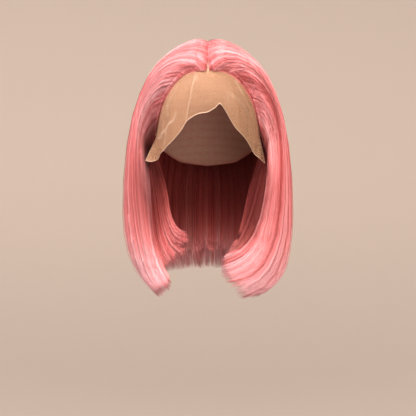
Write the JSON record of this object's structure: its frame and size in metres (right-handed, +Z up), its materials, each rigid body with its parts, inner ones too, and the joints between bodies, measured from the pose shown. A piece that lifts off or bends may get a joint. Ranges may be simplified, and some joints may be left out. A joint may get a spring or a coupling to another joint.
{
  "type": "lace front wig",
  "caption": "Pink lace front wig: a sheer lace front on a stretch cap, with a sleek middle-parted bob whose ends turn in at the chest.",
  "frame": {"origin": "inside of the cap's crown, where the top of the head bears", "axes": "+Z up through the crown, -Y towards the face, +X towards the wearer's left"},
  "size_m": [0.2406, 0.223, 0.3646],
  "materials": {
    "hair_fibre": "glossy straight fibre",
    "lace_net": "sheer net",
    "cap_net": "matt stretch net"
  },
  "bodies": {
    "root": {"wig_cap": "cap_net", "lace_front": "lace_net", "side_hair_right": "hair_fibre", "side_hair_left": "hair_fibre", "back_hair": "hair_fibre", "under_hair_right": "hair_fibre", "under_hair_left": "hair_fibre"}
  },
  "joints": []
}
